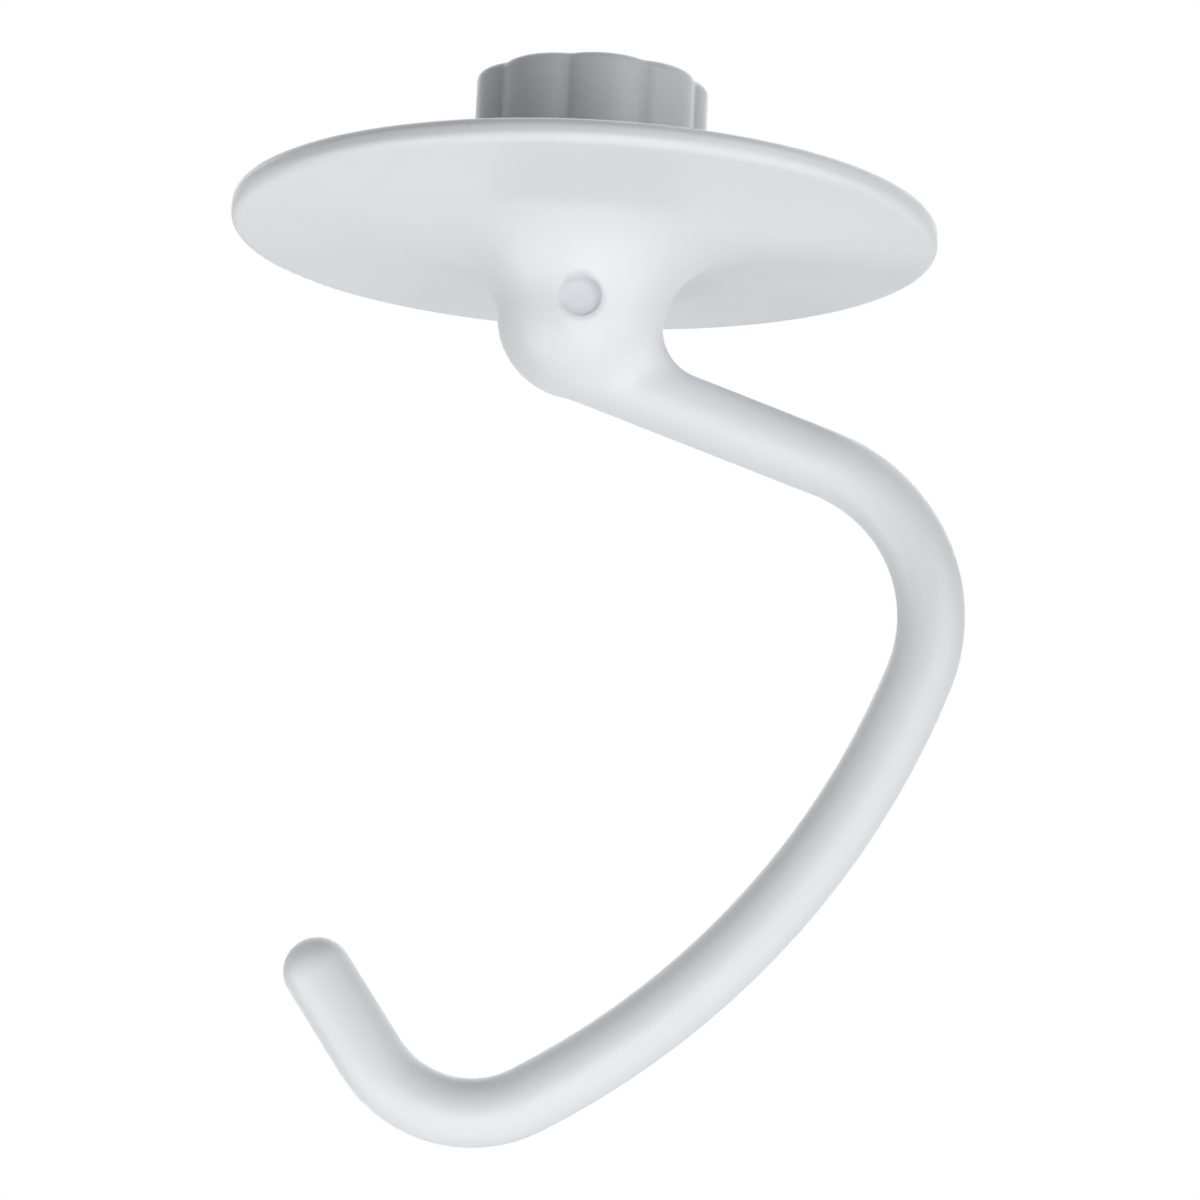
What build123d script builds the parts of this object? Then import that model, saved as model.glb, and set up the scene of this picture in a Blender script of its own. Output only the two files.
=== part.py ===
"""Dough hook for a stand mixer, a single aluminium casting.

The origin is the centre of the shaft socket's mouth, on top of the hub. +Z runs up the mixer's
shaft. The hook lies in the XZ plane with its arm going out towards +X, and that plane is also
where the two halves of the mould meet. Sizes are in millimetres and angles in degrees.
"""

import os
from math import acos, cos, degrees, radians, sin, sqrt, tan

from build123d import *

# Hub: a lobed collar round the shaft socket
hub_radius = 16.95  # over the lobes
hub_height = 19.9  # from the disc's top up to the rim, at the axis
hub_edge_round = 1.1
lobe_count = 9
lobe_radius = 8.8
lobe_turn = -1.5  # degrees, from +X to the middle of the first lobe
lobe_valley_round = 0.8

# Shaft socket, and the J-shaped slot that takes the shaft's cross pin
shaft_diameter = 12.7
shaft_clearance = 0.1  # all round
socket_depth = 36.0  # from the rim down to the drilled floor
mouth_chamfer = 0.4
drill_point = 118.0  # degrees
pin_diameter = 4.8
pin_clearance = 0.6  # all round
pin_drop = 10.2  # from the rim down to the pin's run
pin_turn = 50.0  # degrees
pin_seat_rise = 1.5  # the pin climbs this far into its seat

# Disc: it keeps dough away from the mixer's shaft
disc_radius = 50.8
disc_rim = 3.4  # thickness at the front and back of the rim
disc_draft = 0.4  # degrees, each face slopes away from the mould's meeting plane
disc_edge_round = 1.5  # leaves the rim almost a full half-round

# Neck: a ball end hung under the disc by a wide flare
ball_radius = 11.95
ball_drop = 10.5  # from the disc's underside, at the axis, to the ball's centre
flare_radius = 13.0
mark_diameter = 5.8  # flat left by the mould's ejector pin
mark_depth = 0.8

# Hook: a round rod that leaves the ball's low side and bends three times in one plane
rod_diameter = 9.6
rod_inset = 0.15  # the rod's low side lies this far inside the ball
root_round = 7.3
arm_pitch = 19.15  # degrees below the horizontal
arm_length = 40.6
shoulder_radius = 23.4
shoulder_turn = 90.7  # degrees
sweep_radius = 117.3
sweep_turn = 40.6  # degrees
toe_radius = 16.7
toe_turn = 84.6  # degrees
tip_length = 14.0

# Sizes and places that follow
rod_radius = rod_diameter / 2
socket_radius = shaft_diameter / 2 + shaft_clearance
socket_point = socket_radius / tan(radians(drill_point / 2))
slot_width = pin_diameter + 2 * pin_clearance
slot_reach = 2 * hub_radius  # well past the hub's wall
disc_half = disc_rim / 2 + disc_radius * tan(radians(disc_draft))  # half the thickness at the axis
disc_z = -hub_height - disc_half
disc_under = disc_z - disc_half
ball_z = disc_under - ball_drop
flare_low = flare_radius - ball_drop  # the flare's centre lies this far below the ball's
flare_foot = sqrt((flare_radius + ball_radius) ** 2 - flare_low**2)
flare_turn = degrees(acos(flare_low / (flare_radius + ball_radius)))
rod_offset = ball_radius - rod_radius - rod_inset  # from the ball's centre to the rod's


def leaning_plane(z, lean):
    """Half-section plane through the shaft's axis at z, its +X going to the far side and lifted by lean."""
    return Plane((0, 0, z), x_dir=(0, cos(radians(lean)), sin(radians(lean))), z_dir=(1, 0, 0))


def wall_plane(turn):
    """Plane through the shaft's axis that faces the hub's far wall, turned about the axis."""
    return Plane.XZ.rotated((0, 0, 180 + turn))


os.makedirs("parts", exist_ok=True)

# Room for the cross pin: down from the rim, round to one side, then up into its seat
with BuildPart() as pin_path:
    with BuildSketch(wall_plane(0)):
        with Locations((0, -pin_drop)):
            Circle(slot_width / 2)
            Rectangle(slot_width, pin_drop, align=(Align.CENTER, Align.MIN))
    extrude(amount=slot_reach)
    with BuildSketch(Plane.YZ):
        with Locations((0, -pin_drop)):
            Rectangle(slot_reach, slot_width, align=(Align.MIN, Align.CENTER))
    revolve(axis=Axis.Z, revolution_arc=pin_turn)
    with BuildSketch(wall_plane(pin_turn)):
        with Locations((0, -pin_drop + pin_seat_rise / 2)):
            SlotCenterToCenter(pin_seat_rise, slot_width, rotation=90)
    extrude(amount=slot_reach)

# Centre line of the hook: the straight arm, then the bends as far as the tip
with BuildLine(Plane.XZ):
    foot = (-rod_offset * sin(radians(arm_pitch)), ball_z - rod_offset * cos(radians(arm_pitch)))
    arm = PolarLine(foot, arm_length, -arm_pitch)
with BuildLine(Plane.XZ) as bends:
    shoulder = JernArc(arm @ 1, arm % 1, shoulder_radius, -shoulder_turn)
    long_sweep = JernArc(shoulder @ 1, shoulder % 1, sweep_radius, -sweep_turn)
    toe = JernArc(long_sweep @ 1, long_sweep % 1, toe_radius, -toe_turn)
    tip = Line(toe @ 1, toe @ 1 + (toe % 1) * tip_length)

# Hook from the arm's end on, rounded off at the tip
with BuildPart() as bent_rod:
    with BuildSketch(Plane(arm @ 1, x_dir=(0, 1, 0), z_dir=arm % 1)):
        Circle(rod_radius)
    sweep(path=bends.line)
    with Locations(Plane(tip @ 1, x_dir=(0, 1, 0), z_dir=tip % 1)):
        Sphere(rod_radius, arc_size1=0, align=(Align.CENTER, Align.CENTER, Align.MIN))

# Lobed hub, from the middle of the disc up
with BuildPart() as hub:
    with BuildSketch(Plane((0, 0, disc_z))):
        Circle(hub_radius - lobe_radius)
        with PolarLocations(hub_radius - lobe_radius, lobe_count, lobe_turn):
            Circle(lobe_radius)
        fillet(vertices(), lobe_valley_round)
    extrude(amount=-disc_z)
    fillet(edges().group_by(Axis.Z)[-1], hub_edge_round)

# Upper half of the disc, turned about a line that leans as the near mould's slope asks
with BuildPart() as disc_top:
    top_plane = leaning_plane(-hub_height, disc_draft)
    with BuildSketch(top_plane):
        with BuildLine():
            flat = Line((0, 0), (disc_radius - disc_edge_round, 0))
            edge = JernArc(flat @ 1, flat % 1, disc_edge_round, -90)
            Polyline(edge @ 1, (disc_radius, -disc_rim), (0, -disc_rim), flat @ 0)
        make_face()
    revolve(axis=Axis(top_plane.origin, top_plane.y_dir))
    split(bisect_by=Plane.XY.offset(disc_z), keep=Keep.TOP)

with BuildPart() as dough_hook:
    # Lower half of the disc, turned in one with the flare and the ball end of the neck
    under_plane = leaning_plane(disc_under, -disc_draft)
    with BuildSketch(under_plane):
        with BuildLine():
            rim = Line((disc_radius, disc_rim), (disc_radius, disc_edge_round))
            edge = JernArc(rim @ 1, rim % 1, disc_edge_round, -90)
            flat = Line(edge @ 1, (flare_foot, 0))
            flare = JernArc(flat @ 1, flat % 1, flare_radius, flare_turn)
            ball = JernArc(flare @ 1, flare % 1, ball_radius, -flare_turn)
            Polyline(ball @ 1, (0, disc_rim), rim @ 0)
        make_face()
    revolve(axis=Axis(under_plane.origin, under_plane.y_dir))
    split(bisect_by=Plane.XY.offset(disc_z), keep=Keep.BOTTOM)
    add(disc_top.part)

    # Arm, blended into the ball
    with BuildSketch(Plane(arm @ 0, x_dir=(0, 1, 0), z_dir=arm % 0)):
        Circle(rod_radius)
    extrude(amount=arm_length)
    fillet(edges(Select.LAST).filter_by(GeomType.BSPLINE), root_round)

    # Near half kept, as the near mould shapes it, and its mirror image put against it
    split(bisect_by=Plane.XZ, keep=Keep.TOP)
    add(mirror(dough_hook.part, about=Plane.XZ, mode=Mode.PRIVATE), clean=False)
    add([hub.part, bent_rod.part], clean=False)

    # Shaft socket, drilled from the rim
    with BuildSketch(Plane.YZ):
        with BuildLine():
            Polyline(
                (0, 0),
                (socket_radius + mouth_chamfer, 0),
                (socket_radius, -mouth_chamfer),
                (socket_radius, -socket_depth),
                (0, -socket_depth - socket_point),
                close=True,
            )
        make_face()
    revolve(axis=Axis.Z, mode=Mode.SUBTRACT, clean=False)

    # Pin slot through the far wall of the hub, and the ejector pin's flat on the near side of the ball
    add(pin_path.part, mode=Mode.SUBTRACT, clean=False)
    with BuildSketch(Plane((0, mark_depth - ball_radius, ball_z), x_dir=(1, 0, 0), z_dir=(0, -1, 0))):
        Circle(mark_diameter / 2)
    extrude(amount=ball_radius, mode=Mode.SUBTRACT, clean=False)

dough_hook.part.label = "dough_hook"
export_step(dough_hook.part, "parts/dough_hook.step")
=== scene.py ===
"""Looks, light and camera for a stand mixer's dough hook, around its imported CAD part.

Lengths are in metres. The origin is the middle of the shaft socket's mouth, on top of the hub.
"""

import math

import bmesh
import bpy
from mathutils import Matrix, Vector

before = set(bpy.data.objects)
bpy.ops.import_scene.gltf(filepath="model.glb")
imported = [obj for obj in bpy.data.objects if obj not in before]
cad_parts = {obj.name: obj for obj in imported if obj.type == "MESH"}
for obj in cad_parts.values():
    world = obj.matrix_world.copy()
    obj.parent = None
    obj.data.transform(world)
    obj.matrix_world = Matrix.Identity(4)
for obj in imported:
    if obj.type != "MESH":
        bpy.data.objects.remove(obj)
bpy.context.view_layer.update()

# Places on the hook; radii are from the shaft's axis, and the mark's from its own middle
MIDDLE = Vector((0.003, 0.0, -0.077))
HUB_FOOT = -0.0197
VALLEY_RADIUS = 0.0161  # between the hub's lobes
SOCKET_RADIUS = 0.00645
SOCKET_FLOOR = -0.0405  # just under the drill's point
MOUTH_Z = -0.0008  # just under the chamfer of the socket's mouth
SLOT_FLOOR = -0.0140
SLOT_REACH = 0.0155  # just inside the hub's outer wall
MARK_Z = -0.0345
MARK_RADIUS = 0.0029
MARK_FRONT = -0.0100  # the ejector mark lies in front of this

# Camera fitted to the photograph: low in front, looking up under the disc, turned a little
CAMERA_AT = Vector((0.004786, -0.589748, -0.185861))
CAMERA_TO = Vector((0.004786, 0.0, -0.075738))
CAMERA_TURN = math.radians(2.759)
LENS = 126.98
SENSOR = 36.0

# Soft lamps: name, where from as seen from the hook, how far off, width, power in watts
LAMPS = [
    ("low_front", (0.25, -0.50, -0.83), 0.62, 1.00, 0.85),
    ("front", (0.10, -0.85, -0.50), 0.62, 0.55, 1.75),
    ("right_side", (0.75, -0.65, 0.05), 0.62, 0.55, 1.20),
    ("low_right", (0.85, -0.20, -0.50), 0.62, 0.55, 0.60),
    ("low_left", (-0.80, -0.30, -0.52), 0.36, 0.35, 0.56),
    ("high_back", (0.0, 0.55, 0.83), 0.62, 1.20, 3.5),
    ("low_back", (0.10, 0.80, -0.60), 0.62, 1.20, 0.63),
]
ROOM_LEVEL = 0.03
FLOOR_Z = -0.95
FLOOR_WIDTH = 12.0
FLOOR_GLOW = 0.9  # share of plain white near the hook
FLOOR_FADE = (1.2, 3.5)  # where it starts to go over to all white, and where it is

# Colours
COAT_WHITE = (0.81, 0.82, 0.85, 1.0)
COAT_SHADE = (0.78, 0.79, 0.82, 1.0)
# painted shade: the grey that the ejector mark and the hub's valleys are darkened towards
PAINTED_SHADE_GREY = (0.63, 0.645, 0.685, 1.0)
BARE_METAL = (0.66, 0.66, 0.65, 1.0)
FLOOR_PALE = (0.86, 0.86, 0.86, 1.0)
WHITE = (1.0, 1.0, 1.0, 1.0)

# Noise in the finish: scale and detail
CLOUD = (55.0, 3.0)
ORANGE_PEEL = (620.0, 2.0)
CHIPS = (1400.0, 4.0)
DRILL_RINGS = (1.0, 3.0)
RING_STRETCH = (60.0, 60.0, 5000.0)
RING_DEPTH = 0.6  # beside the orange peel's

# Gloss: roughness, and how much the noise adds
COAT_ROUGHNESS = 0.30
CLOUD_ROUGHNESS = 0.12
METAL_ROUGHNESS = 0.26
RING_ROUGHNESS = 0.2

# Wear: each pair is where it starts and where it is full
SOCKET_WALL = SOCKET_RADIUS + 0.0002
MOUTH_WEAR = (SOCKET_RADIUS + 0.0016, SOCKET_WALL)
SLOT_WEAR = (SLOT_REACH + 0.004, SOCKET_RADIUS)
SLOT_SHARE = 0.8
CHIP_SHARE = 0.9
RUBBED_THROUGH = (1.02, 1.12)  # wear and chips added up

# Painted shade greying the coat in the ejector mark's recess and the hub's valleys, and the edges
# that the coat softens
# painted shade: how far the ejector mark's recess is greyed, and where that fades out
MARK_PAINTED_SHADE = 0.38
MARK_PAINTED_SHADE_FADE = (MARK_RADIUS + 0.0003, MARK_RADIUS - 0.0006)
# painted shade in the valleys between the hub's lobes: strength, width, and fade below the hub's
# top
VALLEY_PAINTED_SHADE = 0.55
VALLEY_SHADE_WIDTH = 0.0004
VALLEY_SHADE_TOP = (-0.0006, -0.0018)
EDGE_SOFTNESS = 0.0006
MARK_SOFTNESS = 0.0018  # on top of that
MARK_SOFT_FADE = (MARK_RADIUS + 0.0012, MARK_RADIUS + 0.0004)


class Wire:
    """A node's output that sums can be written with: each sign adds a Math node."""

    def __init__(self, nodes, socket):
        self.nodes = nodes
        self.socket = socket

    def __add__(self, other):
        return self.nodes.math("ADD", self, other)

    __radd__ = __add__

    def __sub__(self, other):
        return self.nodes.math("SUBTRACT", self, other)

    def __rsub__(self, other):
        return self.nodes.math("SUBTRACT", other, self)

    def __mul__(self, other):
        return self.nodes.math("MULTIPLY", self, other)

    __rmul__ = __mul__

    def __lt__(self, other):
        return self.nodes.math("LESS_THAN", self, other)

    def __gt__(self, other):
        return self.nodes.math("GREATER_THAN", self, other)


class Nodes:
    """The nodes of one material or of the world."""

    def __init__(self, owner):
        owner.use_nodes = True
        self.tree = owner.node_tree
        self.tree.nodes.clear()

    def add(self, kind, settings=None, sockets=None, output=0):
        """One node: its type, its settings, its sockets' values or links, and the output wanted."""
        node = self.tree.nodes.new(kind)
        for name, value in (settings or {}).items():
            setattr(node, name, value)
        for name, value in (sockets or {}).items():
            if isinstance(value, Wire):
                self.tree.links.new(value.socket, node.inputs[name])
            else:
                node.inputs[name].default_value = value
        return Wire(self, node.outputs[output] if len(node.outputs) else None)

    def math(self, operation, *values):
        return self.add("ShaderNodeMath", {"operation": operation}, dict(enumerate(values)))

    def mix(self, amount, first, second):
        """Colour between two, by an amount from 0 to 1."""
        return self.add("ShaderNodeMix", {"data_type": "RGBA"}, {0: amount, 6: first, 7: second}, 2)

    def noise(self, place, scale, detail):
        sockets = {"Vector": place, "Scale": scale, "Detail": detail}
        return self.add("ShaderNodeTexNoise", sockets=sockets)

    def ramp(self, value, start, end):
        """0 at start, 1 at end, eased between; start may be the higher."""
        return self.add("ShaderNodeMapRange", {"interpolation_type": "SMOOTHSTEP"},
                        {"Value": value, "From Min": start, "From Max": end})

    def seen(self):
        """1 for the camera, and for shine and glass that show the background to it."""
        camera, shine, glass = [self.add("ShaderNodeLightPath", output=f"Is {kind} Ray")
                                for kind in ("Camera", "Glossy", "Transmission")]
        return self.math("MINIMUM", camera + shine + glass, 1.0)


def nylon_coat():
    """White satin nylon over the casting, with painted shade in the ejector mark and the hub's
    valleys, and bare metal where it is drilled or rubbed.
    """
    material = bpy.data.materials.new("nylon_coat")
    nodes = Nodes(material)
    place = nodes.add("ShaderNodeTexCoord", output="Object")
    x, y, z = [nodes.add("ShaderNodeSeparateXYZ", sockets={0: place}, output=axis)
               for axis in "XYZ"]
    radius = nodes.math("SQRT", x * x + y * y)
    cloud = nodes.noise(place, *CLOUD)
    peel = nodes.noise(place, *ORANGE_PEEL)
    chips = nodes.noise(place, *CHIPS)

    # Drilled metal in the socket, with fine rings left by the drill
    socket = (radius < SOCKET_WALL) * (z > SOCKET_FLOOR)
    stretched = nodes.add("ShaderNodeVectorMath", {"operation": "MULTIPLY"},
                          {0: place, 1: RING_STRETCH})
    rings = nodes.noise(stretched, *DRILL_RINGS)

    # Coat rubbed through at the socket's mouth and in patches on the pin slot's walls
    mouth = nodes.ramp(radius, *MOUTH_WEAR) * (z > MOUTH_Z)
    slot = (radius < SLOT_REACH) * (z > SLOT_FLOOR) * (z < MOUTH_Z)
    slot = slot * nodes.ramp(radius, *SLOT_WEAR)
    wear = nodes.math("MAXIMUM", mouth, SLOT_SHARE * slot)
    rubbed = nodes.ramp(wear + CHIP_SHARE * chips, *RUBBED_THROUGH)
    bare = nodes.math("MAXIMUM", socket, rubbed)

    # Painted shade: the coat made greyer in the ejector mark's recess and in the valleys between
    # the hub's lobes, where shade falls
    rise = z - MARK_Z
    from_mark = nodes.math("SQRT", x * x + rise * rise)
    near_side = y < MARK_FRONT
    mark_shade_mask = nodes.ramp(from_mark, *MARK_PAINTED_SHADE_FADE) * near_side
    valley_shade_mask = nodes.ramp(radius, VALLEY_RADIUS + VALLEY_SHADE_WIDTH, VALLEY_RADIUS)
    valley_shade_mask = valley_shade_mask * (radius > VALLEY_RADIUS - VALLEY_SHADE_WIDTH)
    valley_shade_mask = valley_shade_mask * (z > HUB_FOOT) * nodes.ramp(z, *VALLEY_SHADE_TOP)
    painted_shade = nodes.math("MAXIMUM", MARK_PAINTED_SHADE * mark_shade_mask, VALLEY_PAINTED_SHADE * valley_shade_mask)
    white = nodes.mix(painted_shade, nodes.mix(cloud, COAT_WHITE, COAT_SHADE), PAINTED_SHADE_GREY)

    # Edges softened by the coat, most of all round the mark
    by_mark = nodes.ramp(from_mark, *MARK_SOFT_FADE) * near_side
    soft_edge = nodes.add("ShaderNodeBevel", {"samples": 6},
                          {"Radius": EDGE_SOFTNESS + MARK_SOFTNESS * by_mark})

    coated = 1.0 - bare
    coat_gloss = COAT_ROUGHNESS + CLOUD_ROUGHNESS * cloud
    metal_gloss = METAL_ROUGHNESS + RING_ROUGHNESS * rings
    texture = peel * coated + RING_DEPTH * rings * bare
    surface = nodes.add("ShaderNodeBsdfPrincipled", sockets={
        "Base Color": nodes.mix(bare, white, BARE_METAL),
        "Roughness": coat_gloss * coated + metal_gloss * bare,
        "Metallic": bare,
        "Specular IOR Level": 0.45,
        "Normal": nodes.add("ShaderNodeBump", sockets={
            "Strength": 0.25, "Distance": 0.00004, "Height": texture, "Normal": soft_edge}),
    })
    nodes.add("ShaderNodeOutputMaterial", sockets={"Surface": surface})
    return material


def floor():
    """Pale floor far below the hook: nearly white, with the hook's shadow, and white far off."""
    material = bpy.data.materials.new("floor")
    nodes = Nodes(material)
    lit = nodes.add("ShaderNodeBsdfDiffuse", sockets={"Color": FLOOR_PALE})
    glow = nodes.add("ShaderNodeEmission", sockets={"Color": WHITE})
    place = nodes.add("ShaderNodeTexCoord", output="Object")
    reach = nodes.add("ShaderNodeVectorMath", {"operation": "LENGTH"}, {0: place}, "Value")
    share = FLOOR_GLOW + (1.0 - FLOOR_GLOW) * nodes.ramp(reach, *FLOOR_FADE)
    surface = nodes.add("ShaderNodeMixShader", sockets={0: share * nodes.seen(), 1: lit, 2: glow})
    nodes.add("ShaderNodeOutputMaterial", sockets={"Surface": surface})

    sheet = bmesh.new()
    bmesh.ops.create_grid(sheet, x_segments=1, y_segments=1, size=FLOOR_WIDTH / 2,
                          matrix=Matrix.Translation((0, 0, FLOOR_Z)))
    mesh = bpy.data.meshes.new("floor")
    sheet.to_mesh(mesh)
    sheet.free()
    mesh.materials.append(material)
    piece = bpy.data.objects.new("floor", mesh)
    bpy.context.scene.collection.objects.link(piece)


def studio():
    """Even room light with white behind it, and soft lamps round the hook."""
    world = bpy.data.worlds.new("studio")
    bpy.context.scene.world = world
    nodes = Nodes(world)
    level = ROOM_LEVEL + (1.0 - ROOM_LEVEL) * nodes.seen()
    light = nodes.add("ShaderNodeBackground", sockets={"Color": WHITE, "Strength": level})
    nodes.add("ShaderNodeOutputWorld", sockets={"Surface": light})

    for name, direction, away, width, power in LAMPS:
        lamp = bpy.data.lights.new(name, "AREA")
        lamp.shape = "DISK"
        lamp.size = width
        lamp.energy = power
        source = Vector(direction).normalized()
        piece = bpy.data.objects.new(name, lamp)
        piece.location = MIDDLE + source * away
        piece.rotation_euler = source.to_track_quat("Z", "Y").to_euler()
        piece.visible_camera = False
        bpy.context.scene.collection.objects.link(piece)


def camera():
    """Camera at the photograph's place, rolled as it was."""
    data = bpy.data.cameras.new("camera")
    data.lens = LENS
    data.sensor_width = SENSOR
    data.clip_start = 0.01
    eye = bpy.data.objects.new("camera", data)
    facing = (CAMERA_AT - CAMERA_TO).to_track_quat("Z", "Y").to_matrix()
    turned = facing @ Matrix.Rotation(CAMERA_TURN, 3, "Z")
    eye.matrix_world = Matrix.Translation(CAMERA_AT) @ turned.to_4x4()
    bpy.context.scene.collection.objects.link(eye)
    bpy.context.scene.camera = eye


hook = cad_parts["dough_hook"]
hook.data.materials.clear()
hook.data.materials.append(nylon_coat())
floor()
studio()
camera()
bpy.context.scene.view_settings.view_transform = "Standard"
